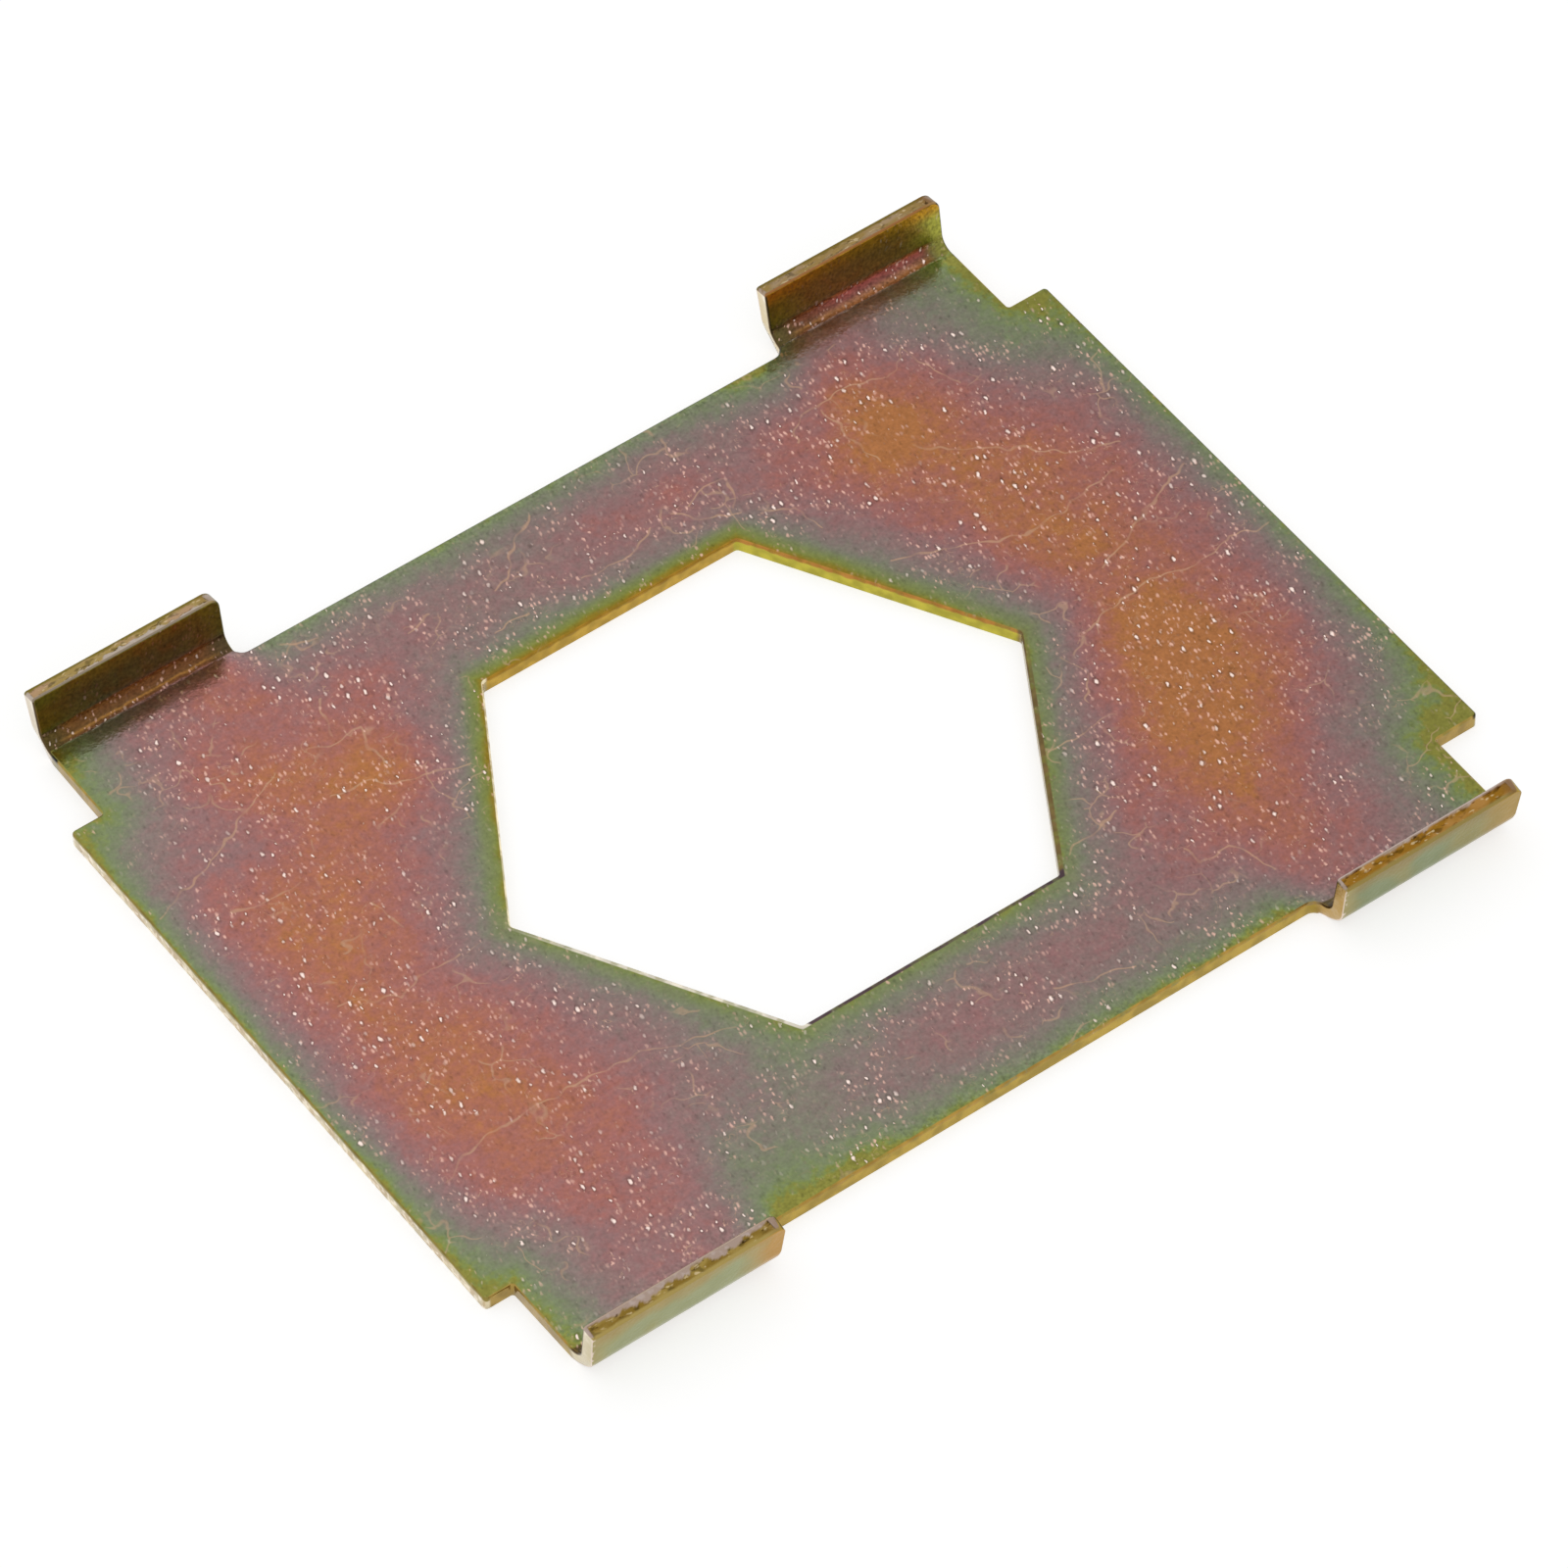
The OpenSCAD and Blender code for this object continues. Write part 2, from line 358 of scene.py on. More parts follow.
def tear_tab_ends(sheet):
    """Roughens the ends of the tabs: below the band that was sheared smoothly, the sheet
    tore off a little short, and its outer arris is rubbed round."""
    top = SHEET - OUTLINE_ROLL
    bpy.ops.object.mode_set(mode="EDIT")
    # The edges that run along the tab, then those that run up through the sheet
    for direction, cuts in ((0, 95), (2, 9)):
        pick("EDGE", lambda e: all(abs(v.co.y) > TAB_TOP - TINY for v in e.verts)
             and (e.verts[0].co - e.verts[1].co).normalized()[direction] ** 2 > 0.99
             and middle(e).z < top + TINY
             and (direction == 2 or e.calc_length() > 1))
        bpy.ops.mesh.subdivide(number_cuts=cuts)
    bpy.ops.object.mode_set(mode="OBJECT")
    torn = sheet.data.attributes.new("torn", "FLOAT", "POINT")
    for vertex in sheet.data.vertices:
        x, y, z = vertex.co
        short = rubbed_off(y, z)
        if abs(y) > TAB_TOP - TINY and LOWER_BREAK + TINY < z < top - TINY:
            share = torn_share(x, y, z)
            short += share * torn_depth(x, y, z)
            torn.data[vertex.index].value = share
        vertex.co.y -= math.copysign(short, y)


def draw_in_bend_ends(x, y, z):
    """A bend pulls its outer fibres in at the ends of the tab, and pushes the inner ones out."""
    shift = (FAR_SHIFT if y > 0 else NEAR_SHIFT)[0]
    off_middle = x - shift - math.copysign(TAB_MIDDLE, x)
    near_end = max(0, 1 - (HALF_TAB - abs(off_middle)) / DRAW_REACH)
    along = (abs(y) - BEND_START - BEND_LENGTH / 2) / DRAW_REACH
    pull = DRAWN_IN * (1 - z / SHEET) - PUSHED_OUT * z / SHEET
    return x - math.copysign(pull * near_end * math.exp(-along ** 2), off_middle)


def fold_tabs(sheet):
    """Keeps each point's place in the flat blank, then folds the four tabs up."""
    bpy.ops.object.mode_set(mode="EDIT")
    for side in (1, -1):
        for step in range(BEND_STEPS + 1):
            reach = BEND_START + BEND_LENGTH * step / BEND_STEPS
            bpy.ops.mesh.select_all(action="SELECT")
            bpy.ops.mesh.bisect(plane_co=(0, side * reach, 0), plane_no=(0, 1, 0), threshold=TINY)
    bpy.ops.object.mode_set(mode="OBJECT")
    flat = sheet.data.attributes.new("blank", "FLOAT_VECTOR", "POINT")
    for point, vertex in zip(flat.data, sheet.data.vertices):
        point.vector = vertex.co
    outer = BEND_R + SHEET
    for vertex in sheet.data.vertices:
        x, y, z = vertex.co
        along = abs(y) - BEND_START
        if along <= 0:
            continue
        x = draw_in_bend_ends(x, y, z)
        angle = BEND_ANGLE * min(along / BEND_LENGTH, 1)
        past = max(along - BEND_LENGTH, 0)
        reach = BEND_START + (outer - z) * math.sin(angle) + past * math.cos(angle)
        height = outer - (outer - z) * math.cos(angle) + past * math.sin(angle)
        vertex.co = (x, math.copysign(reach, y), height)


def finish_mesh(piece, name, material):
    """Brings a piece from millimetres to metres, smooths it, and puts it in the frame."""
    piece.name = piece.data.name = name
    piece.data.transform(Matrix.Scale(MM, 4))
    piece.data.materials.clear()
    piece.data.materials.append(material)
    bpy.ops.object.select_all(action="DESELECT")
    piece.select_set(True)
    bpy.context.view_layer.objects.active = piece
    bpy.ops.object.shade_smooth_by_angle(angle=SMOOTH_ANGLE)
    level = piece.modifiers.new("flat faces stay flat", "WEIGHTED_NORMAL")
    level.keep_sharp = True
    level.weight = 100
    bpy.ops.object.modifier_apply(modifier=level.name)
    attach(piece, "root")


def linear(hex_colour):
    """An sRGB hex colour as linear red, green, blue and alpha."""
    channels = [int(hex_colour[i:i + 2], 16) / 255 for i in (1, 3, 5)]
    return [c / 12.92 if c <= 0.04045 else ((c + 0.055) / 1.055) ** 2.4 for c in channels] + [1]


def add(tree, kind, sockets=(), out=0, **settings):
    """Adds a node, with its sockets by name or in order, and gives one of its outputs."""
    made = tree.nodes.new("ShaderNode" + kind)
    for name, value in settings.items():
        setattr(made, name, value)
    for socket, value in sockets.items() if isinstance(sockets, dict) else enumerate(sockets):
        if isinstance(value, bpy.types.NodeSocket):
            tree.links.new(value, made.inputs[socket])
        else:
            made.inputs[socket].default_value = linear(value) if isinstance(value, str) else value
    return made.outputs[out]


def new_material(name):
    """An empty material, as the material, its tree and its output node."""
    material = bpy.data.materials.new(name)
    material.use_nodes = True
    material.node_tree.nodes.clear()
    return material, material.node_tree, material.node_tree.nodes.new("ShaderNodeOutputMaterial")


def product(tree, values):
    """All the values multiplied together."""
    result = values[0]
    for value in values[1:]:
        result = add(tree, "Math", (result, value), operation="MULTIPLY")
    return result


def shades(tree, value, stops):
    """Colours that run into each other along a value, as (place, hex colour) pairs."""
    out = add(tree, "ValToRGB", (value,))
    ramp = out.node.color_ramp
    for i, (place, hex_colour) in enumerate(stops):
        stop = ramp.elements[i] if i < 2 else ramp.elements.new(place)
        stop.position, stop.color = place, linear(hex_colour)
    return out


def lay_over(tree, share, under, over):
    """Lays one colour over another in the given share."""
    return add(tree, "Mix", {"Factor": share, 6: under, 7: over}, out=2, data_type="RGBA")


def fade(tree, value, start, end, low=0.0, high=1.0):
    """Goes softly from low to high while the value goes from start to end."""
    return add(tree, "MapRange", (value, start, end, low, high), interpolation_type="SMOOTHSTEP")


def grain(tree, place, size_mm, detail=1.0):
    """Even noise with an average of 0.5, whose patches measure about that many millimetres."""
    return add(tree, "TexNoise", {"Vector": place, "Scale": 0.7 / size_mm, "Detail": detail})


def roughen(tree, value, place, size_mm, share, detail=1.0):
    """Makes a value uneven by a share of that grain, up and down alike."""
    uneven = add(tree, "Math", (grain(tree, place, size_mm, detail), 0.5), operation="SUBTRACT")
    return add(tree, "Math", (uneven, share, value), operation="MULTIPLY_ADD")


def wander(tree, place, size_mm, reach_mm):
    """Moves places about, so that a pattern laid on them wanders by up to that reach."""
    elsewhere = add(tree, "VectorMath", (place, (57.0, 31.0, 0.0)), operation="ADD")
    off = add(tree, "CombineXYZ", (grain(tree, place, size_mm), grain(tree, elsewhere, size_mm)))
    off = add(tree, "VectorMath", (off, (0.5, 0.5, 0.0)), operation="SUBTRACT")
    return add(tree, "VectorMath", (off, (2 * reach_mm, 2 * reach_mm, 0.0), place),
               operation="MULTIPLY_ADD")


def dim(tree, colour, share):
    """Makes a colour darker or lighter by a share that can vary."""
    grey = add(tree, "CombineColor", (share, share, share))
    return add(tree, "Mix", {"Factor": 1.0, 6: colour, 7: grey}, out=2,
               data_type="RGBA", blend_type="MULTIPLY")


def reach_towards(tree, blank, degrees):
    """How far a place lies from the hexagon's middle in one direction."""
    turn = math.radians(degrees)
    return add(tree, "VectorMath", (blank, (math.cos(turn), math.sin(turn), 0.0)), out="Value",
               operation="DOT_PRODUCT")


def distance_from_hexagon(tree, blank, softness):
    """How far a place lies outside the hexagon, whose corners it can round off."""
    furthest = None
    for degrees in (30, 90, 150):
        reach = add(tree, "Math", (reach_towards(tree, blank, degrees),), operation="ABSOLUTE")
        furthest = reach if furthest is None else add(
            tree, "Math", (furthest, reach, softness), operation="SMOOTH_MAX")
    return add(tree, "Math", (furthest, HEXAGON_REACH), operation="SUBTRACT")


def places_on_blank(tree):
    """Where a place lies in the flat blank: along x, along y, and z up through the sheet."""
    blank = add(tree, "Attribute", attribute_name="blank", out="Vector")
    x = add(tree, "SeparateXYZ", (blank,))
    y, z = x.node.outputs["Y"], x.node.outputs["Z"]
    across = add(tree, "Math", (y,), operation="ABSOLUTE")
    return SimpleNamespace(blank=blank, x=x, y=y, z=z, across=across)


def add_places_on_tabs(tree, at):
    """Adds what the tabs' finish goes by: which tab a place is on, how far to the right of
    that tab's middle it lies, and whether it lies past the bend."""
    at.right, at.left = fade(tree, at.x, -1.0, 1.0), fade(tree, at.x, 1.0, -1.0)
    at.far = fade(tree, at.y, -1.0, 1.0)
    along = add(tree, "Math", (at.x,), operation="ABSOLUTE")
    outer_part = fade(tree, along, TAB_MIDDLE - 4.4, TAB_MIDDLE + 3.6)
    apart = [far - near for far, near in zip(FAR_SHIFT, NEAR_SHIFT)]
    near_shift, apart = [
        add(tree, "Math", (outer_part, outer - inner, inner), operation="MULTIPLY_ADD")
        for outer, inner in (NEAR_SHIFT, apart)]
    shift = add(tree, "Math", (at.far, apart, near_shift), operation="MULTIPLY_ADD")
    off_tab = add(tree, "Math", (at.x, shift), operation="SUBTRACT")
    off_tab = add(tree, "Math", (off_tab,), operation="ABSOLUTE")
    off_tab = add(tree, "Math", (off_tab, TAB_MIDDLE), operation="SUBTRACT")
    which_way = add(tree, "Math", (at.right, 2.0, -1.0), operation="MULTIPLY_ADD")
    at.side = add(tree, "Math", (which_way, off_tab), operation="MULTIPLY")
    at.off_middle = add(tree, "Math", (at.side,), operation="ABSOLUTE")
    at.on_tab = fade(tree, at.across, BEND_START + 0.6 * BEND_LENGTH, BEND_END + 0.6)


def distances_from_edges(tree, at):
    """How far a place lies from each kind of cut edge, with how far in the film is thin there.
    Along a tab, the long edge swings out to the tab's end."""
    far_side = add(tree, "Math", (at.y, 0.0), operation="GREATER_THAN")
    shift = add(tree, "Math", (far_side, FAR_SHIFT[0] - NEAR_SHIFT[0], NEAR_SHIFT[0]),
                operation="MULTIPLY_ADD")
    along = add(tree, "Math", (at.x, shift), operation="SUBTRACT")
    along = add(tree, "Math", (along,), operation="ABSOLUTE")
    off_tab = add(tree, "Math", (along, TAB_MIDDLE), operation="SUBTRACT")
    off_tab = add(tree, "Math", (off_tab,), operation="ABSOLUTE")
    long_edge = fade(tree, off_tab, 13.0, 6.0, LONG_EDGE + PAST_NEAR_SIDE, TAB_TOP + PAST_NEAR_SIDE)
    to_long_edge = add(tree, "Math", (long_edge, at.across), operation="SUBTRACT")
    to_notch = [add(tree, "Math", (limit, value), operation="SUBTRACT")
                for limit, value in ((TAB_OUTSIDE, along), (END_HALF_WIDTH, at.across))]
    to_notch = [add(tree, "Math", (value, 0.0), operation="MAXIMUM") for value in to_notch]
    to_notch = add(tree, "CombineXYZ", to_notch)
    right_end, further = RIGHT_END + PAST_RIGHT_END, PAST_FAR_SIDE - PAST_NEAR_SIDE
    return (
        (add(tree, "Math", (at.x, LEFT_END), operation="SUBTRACT"), THIN_FROM_LEFT_END),
        (add(tree, "Math", (right_end, at.x), operation="SUBTRACT"), THIN_FROM_RIGHT_END),
        (add(tree, "Math", (far_side, further, to_long_edge), operation="MULTIPLY_ADD"),
         THIN_FROM_LONG_EDGE),
        (add(tree, "VectorMath", (to_notch,), out="Value", operation="LENGTH"), THIN_FROM_NOTCH),
        (distance_from_hexagon(tree, at.blank, 4.0), THIN_FROM_HEXAGON),
    )


def film_thickness(tree, at):
    """How thick the film is: thin beside the cut edges, where it formed fastest and rinsed off
    first, and thickest in the middle of the wide lands. The bath left it patchy as well."""
    built_up = []
    for distance, reach in distances_from_edges(tree, at):
        thin = add(tree, "Math", (distance, -1 / reach), operation="MULTIPLY")
        thin = add(tree, "Math", (thin,), operation="EXPONENT")
        built_up.append(add(tree, "Math", (1.0, thin), operation="SUBTRACT", use_clamp=True))
    film = add(tree, "Math", (product(tree, built_up), FULL_FILM), operation="MULTIPLY")
    for x, y, size, much in FILM_PATCHES:
        off = add(tree, "VectorMath", (at.blank, (x, y, SHEET)), operation="SUBTRACT")
        off = add(tree, "VectorMath", (off, off), out="Value", operation="DOT_PRODUCT")
        off = add(tree, "Math", (off, -1 / size ** 2), operation="MULTIPLY")
        off = add(tree, "Math", (off,), operation="EXPONENT")
        film = add(tree, "Math", (off, much, film), operation="MULTIPLY_ADD")
    for size, share in FILM_GRAIN:
        film = roughen(tree, film, at.blank, size, share, 2.0)
    return film


def brown_beside_hexagon(tree, at, face):
    """Beside the hexagon, where the bath ran through, the film turns green and then brown.
    Adds each place's distance from the hexagon as well."""
    at.beside = distance_from_hexagon(tree, at.blank, 0.0)
    wavy = fade(tree, at.y, 22.0, -5.0, 0.0, 0.45)
    wavy = add(tree, "Math", (grain(tree, at.blank, 2.0), 0.8, wavy), operation="MULTIPLY_ADD")
    wavy = add(tree, "Math", (at.beside, wavy), operation="ADD")
    near = add(tree, "Math", (wavy, 1 / HEXAGON_FILM_REACH), operation="MULTIPLY")
    browned = fade(tree, at.y, -5.0, 18.0, 0.45, 1.0)
    browned = product(tree, (fade(tree, at.beside, 2.4, 1.0), browned))
    return lay_over(tree, browned, face, shades(tree, near, HEXAGON_FILM))


def by_tab(tree, at, name):
    """The colour that each of the four tabs has for one of its places."""
    colours = TAB_COLOURS[name]
    far, near = [lay_over(tree, at.right, *pair) for pair in (colours[:2], colours[-2:])]
    return lay_over(tree, at.far, near, far)


def inside_of_tabs(tree, at, face):
    """The inner faces of the tabs have the olive and brown of a thin film."""
    inner = by_tab(tree, at, "inner face")
    for part, where in (
            ("left", fade(tree, at.side, -3.0, -9.0)), ("right", fade(tree, at.side, 4.6, 8.8)),
            ("top", fade(tree, at.across, TAB_TOP - 2.0, TAB_TOP - 0.3))):
        inner = lay_over(tree, where, inner, by_tab(tree, at, "inner face, " + part))
    return lay_over(tree, product(tree, (at.on_tab, 0.9)), face, inner)


def rubbed_bends(tree, at, face):
    """In the bends the tools rubbed the film, and their olive ends were left alone. Adds how
    far a place is part of a bend as well."""
    round_bend = add(tree, "MapRange", (at.across, BEND_START, BEND_END, 0.0, 1.0))
    round_bend = roughen(tree, round_bend, at.blank, 1.0, 0.16)
    on_right = product(tree, (at.right, fade(tree, at.side, -6.5, -1.0, 0.3, 1.0)))
    rubbed = lay_over(tree, on_right, *[shades(tree, round_bend, film) for film in BEND_FILM])
    olive = lay_over(tree, at.right, "#49391f", "#584a28")
    rubbed = lay_over(tree, fade(tree, at.off_middle, 6.4, 8.8), rubbed, olive)
    short_of_right_end = add(tree, "Math", (fade(tree, at.side, 9.2, 7.0), at.left),
                             operation="MAXIMUM")
    at.in_bend = product(tree, (fade(tree, round_bend, 0.04, 0.16),
                                fade(tree, round_bend, 1.02, 0.88), short_of_right_end, 0.94))
    return lay_over(tree, at.in_bend, face, rubbed)


def crystals(tree, place, spacing_mm, radius_mm):
    """Zinc crystals, about one every so many millimetres: each place's distance from the
    nearest one, in radii, and two numbers from 0 to 1 of that crystal's own."""
    near = add(tree, "TexVoronoi", {"Vector": place, "Scale": 1 / spacing_mm}, out="Distance",
               voronoi_dimensions="2D")
    own = add(tree, "SeparateColor", (near.node.outputs["Color"],))
    radius = add(tree, "Math", (own.node.outputs["Green"], radius_mm, 0.45 * radius_mm),
                 operation="MULTIPLY_ADD")
    off = add(tree, "Math", (near, spacing_mm), operation="MULTIPLY")
    return add(tree, "Math", (off, radius), operation="DIVIDE"), own, own.node.outputs["Blue"]


def crystals_with_painted_glints(tree, at, film):
    """Crystals of the zinc that lie tilted, drawn out the way the sheet was rolled: painted glints
    of the large and the small ones, a ring of painted shade round a large one, and small specks
    of painted shade. They crowd where the film is thick, and there are few on the tabs."""
    zinc = SimpleNamespace(spread=wander(tree, at.blank, 0.35, 0.17))
    rolled = {"Vector": zinc.spread, "Rotation": (0, 0, math.radians(-10)), "Scale": (1, 2, 1)}
    rolled = add(tree, "Mapping", rolled, vector_type="TEXTURE")
    crowd = add(tree, "Math", (film, 0.16, grain(tree, at.blank, 3.0)), operation="MULTIPLY_ADD")
    crowd = fade(tree, crowd, 0.46, 0.70, 0.10, 1.0)
    crowd = product(tree, (crowd, fade(tree, at.on_tab, 0.0, 1.0, 1.0, 0.25)))
    in_bend = product(tree, (at.in_bend, 0.62))
    zinc.crowd = add(tree, "Math", (in_bend, crowd), operation="MAXIMUM")
    off, own, _ = crystals(tree, rolled, 0.76, 0.115)
    own = fade(tree, own, 0.64, 0.98)
    # Painted glints of the large crystals, and a ring of painted shade round them
    zinc.large = product(tree, (fade(tree, off, 1.2, 0.3), own, zinc.crowd, 1.3))
    zinc.ring = product(tree, (fade(tree, off, 2.4, 1.2), own, zinc.crowd))
    off, own, other = crystals(tree, rolled, 0.38, 0.13)
    own = fade(tree, own, 0.46, 1.0)
    # Painted glints of the small crystals, and specks of painted shade
    zinc.small = product(tree, (fade(tree, off, 1.1, 0.2), own, zinc.crowd, 0.68))
    zinc.dark = product(tree, (fade(tree, off, 1.3, 0.3), fade(tree, other, 0.55, 1.0)))
    return zinc


def painted_light_and_mottle(tree, at, zinc):
    """How light each place is painted: painted light towards the left end and in front of the far
    tabs, painted shade round the large crystals and at the dark specks, and a mottle, most of
    all in the bends and on the tabs."""
    # Painted light, lighter towards the left end
    light = add(tree, "MapRange", (at.x, -50.0, 50.0, 1.10, 0.91))
    # Painted light in front of the far tabs, at their foot
    foot = product(tree, (fade(tree, at.across, BEND_START - 2.2, BEND_START - 0.8),
                          fade(tree, at.across, BEND_START + 0.4, BEND_START - 0.1),
                          fade(tree, at.off_middle, 10.0, 8.6), at.far))
    # The painted light at the foot, and painted shade round the large crystals and at the dark
    # specks
    for mask, share in ((foot, 0.18), (zinc.ring, -0.34), (zinc.dark, -0.20)):
        light = add(tree, "Math", (mask, share, light), operation="MULTIPLY_ADD")
    on_bend = fade(tree, at.across, BEND_START - 3.0, BEND_START + 0.5)
    gritty = add(tree, "Math", (on_bend, 0.8, 0.42), operation="MULTIPLY_ADD")
    light = roughen(tree, light, at.blank, 0.22, gritty)
    return roughen(tree, light, at.blank, 0.6, 0.28)


def curls(tree, at, zinc):
    """Short curled marks, about one a millimetre where the crystals crowd."""
    curl = {"Vector": zinc.spread, "Scale": 0.9, "Detail": 0.0, "Distortion": 1.6}
    curl = add(tree, "Math", (add(tree, "TexNoise", curl), 0.5), operation="SUBTRACT")
    curl = fade(tree, add(tree, "Math", (curl,), operation="ABSOLUTE"), 0.016, 0.004)
    broken = fade(tree, grain(tree, at.blank, 1.3, 0.0), 0.50, 0.58)
    return product(tree, (curl, broken, zinc.crowd))


def hair_marks(tree, place):
    """Fine curved marks like hairs, broken up and gathered in loose tangles."""
    moved = wander(tree, place, 1.8, 2.5)
    line = add(tree, "TexVoronoi", {"Vector": moved, "Scale": 1 / 3.2}, out="Distance",
               voronoi_dimensions="2D", feature="DISTANCE_TO_EDGE")
    line = fade(tree, line, 0.060, 0.012)
    tangle = fade(tree, grain(tree, place, 6.0, 0.0), 0.50, 0.62)
    broken = fade(tree, grain(tree, moved, 1.8, 0.0), 0.50, 0.62)
    return product(tree, (line, tangle, broken))


def scratches(tree, place):
    """The long thin scratches, each one a run of straight lines that wanders a little."""
    place = wander(tree, place, 1.4, 0.8)
    nearest = None
    for scratch in SCRATCHES:
        for start, end in zip(scratch, scratch[1:]):
            start, end = Vector((*start, SHEET)), Vector((*end, SHEET))
            line = end - start
            off = add(tree, "VectorMath", (place, start), operation="SUBTRACT")
            share = add(tree, "VectorMath", (off, line / line.length_squared), out="Value",
                        operation="DOT_PRODUCT")
            foot = {0: line, "Scale": add(tree, "Clamp", (share,))}
            foot = add(tree, "VectorMath", foot, operation="SCALE")
            off = add(tree, "VectorMath", (off, foot), out="Value", operation="DISTANCE")
            nearest = off if nearest is None else add(
                tree, "Math", (nearest, off), operation="MINIMUM")
    faded = fade(tree, grain(tree, place, 1.5), 0.35, 0.6, 0.35, 1.0)
    return product(tree, (fade(tree, nearest, 0.15, 0.04), faded))


def worn_marks_and_painted_glints(tree, at, zinc, face):
    """The film is worn through to paler metal in marks and scratches, and crystals get painted
    glints.
    """
    on_flat = fade(tree, at.across, BEND_START + 0.5, BEND_START - 0.5)
    curled = product(tree, (curls(tree, at, zinc), on_flat, 0.36))
    face = lay_over(tree, curled, face, "#cfa88a")
    hairs = product(tree, (hair_marks(tree, at.blank), on_flat, 0.42))
    face = lay_over(tree, hairs, face, "#c4a184")
    scratched = product(tree, (scratches(tree, at.blank), 0.5))
    face = lay_over(tree, scratched, face, "#c8a283")
    # Painted glints of the small and the large crystals
    face = lay_over(tree, zinc.small, face, "#fdccba")
    return lay_over(tree, zinc.large, face, "#ffe9de")


def cut_gold_and_painted_light(tree, at, sides, inset, layer):
    """Gold, with each side's own colour where a place lies near that side, which paints light and
    shade by the way that side faces: layer 0 is its rolled edge and layer 1 its wall."""
    colour = CUT_GOLD
    for degrees, reach, *layers in sides:
        border = reach - inset
        near = fade(tree, reach_towards(tree, at.blank, degrees), border - 0.15, border + 0.15)
        colour = lay_over(tree, near, colour, layers[layer])
    return colour


def cut_edges(tree, at, face):
    """The rolled edges and the cut walls took the film thin and golden, with streaks, and each side
    has painted light and shade by the way it faces. The wall of the left end is mottled with tan
    and painted glints. Adds a mask for painted glints."""
    level = roughen(tree, at.z, at.blank, 0.8, 0.5)
    inside = fade(tree, at.beside, 3.0, 2.0)
    streaks = fade(tree, grain(tree, at.blank, 0.9), 0.3, 0.7, 0.82, 1.14)
    # A mask of painted glints on cut metal, for the left end and the tabs
    at.glint = fade(tree, grain(tree, at.blank, 0.5), 0.50, 0.66)
    # The rolled edges and walls take each side's colour, with painted light and shade by the way
    # that side faces
    rolled, wall = [
        dim(tree, lay_over(tree, inside, cut_gold_and_painted_light(tree, at, OUTER_SIDES, 0.5, layer),
                           cut_gold_and_painted_light(tree, at, HEXAGON_SIDES, 0.3, layer)), streaks)
        for layer in (0, 1)]
    lip = product(tree, (inside, fade(tree, at.beside, 0.50, 0.38), fade(tree, at.y, 2.0, -8.0)))
    on_roll = fade(tree, at.z, SHEET - 0.004, SHEET - 0.04)
    on_roll = add(tree, "Math", (on_roll, lip), operation="MAXIMUM")
    broken = fade(tree, grain(tree, at.blank, 0.7), 0.36, 0.56, 0.5, 1.0)
    face = lay_over(tree, product(tree, (on_roll, broken)), face, rolled)
    at_left_end = fade(tree, at.x, LEFT_END + 0.15, LEFT_END + 0.05)
    tan = fade(tree, grain(tree, at.blank, 1.1), 0.46, 0.58)
    wall = lay_over(tree, product(tree, (at_left_end, tan, 0.6)), wall, "#b89c70")
    # Painted glints on the wall of the left end
    wall = lay_over(tree, product(tree, (at_left_end, at.glint, 0.6)), wall, PAINTED_HIGHLIGHT)
    return lay_over(tree, fade(tree, level, SHEET - 0.25, SHEET - 0.45), face, wall)


def cut_sides_of_tabs(tree, at, face):
    """The cut sides of the tabs: creamy with a pale outer arris on the left, where they are
    painted light with painted highlights, and golden on the right. Both have a line of painted
    shade at the inner arris."""
    at_left = fade(tree, at.side, 0.14 - HALF_TAB, 0.06 - HALF_TAB)
    at_right = fade(tree, at.side, HALF_TAB - 0.14, HALF_TAB - 0.06)
    beyond = fade(tree, at.across, BEND_START - 0.4, BEND_START + 0.4)
    # The left ends are painted light, with painted highlights strongest towards the top
    shine = add(tree, "Math", (at.glint, 0.5, 0.5), operation="MULTIPLY_ADD")
    pale_end = add(tree, "Math", (at.left, at.far), operation="MAXIMUM")
    shine = product(tree, (shine, fade(tree, at.across, TAB_TOP - 2.6, TAB_TOP - 0.6, 0.45, 1.0),
                           fade(tree, pale_end, 0.0, 1.0, 0.4, 1.0),
                           fade(tree, at.z, 0.5, 1.2, 0.35, 0.85)))
    cream = lay_over(tree, shine, by_tab(tree, at, "left end"), PAINTED_HIGHLIGHT)
    cream = lay_over(tree, fade(tree, at.z, 0.22, 0.08), cream, PALE_ARRIS)
    wall = fade(tree, at.z, SHEET - 0.12, SHEET - 0.3)
    # A line of painted shade at the inner arris
    painted_shade_line = product(tree, (fade(tree, at.off_middle, HALF_TAB - 0.26, HALF_TAB - 0.16),
                               beyond, fade(tree, at.z, SHEET - 0.01, SHEET - 0.05)))
    dark = lay_over(tree, at_left, "#665a30", "#54422a")
    face = lay_over(tree, painted_shade_line, face, dark)
    face = lay_over(tree, product(tree, (at_left, beyond, wall)), face, cream)
    gold = by_tab(tree, at, "right end")
    return lay_over(tree, product(tree, (at_right, beyond, wall)), face, gold)


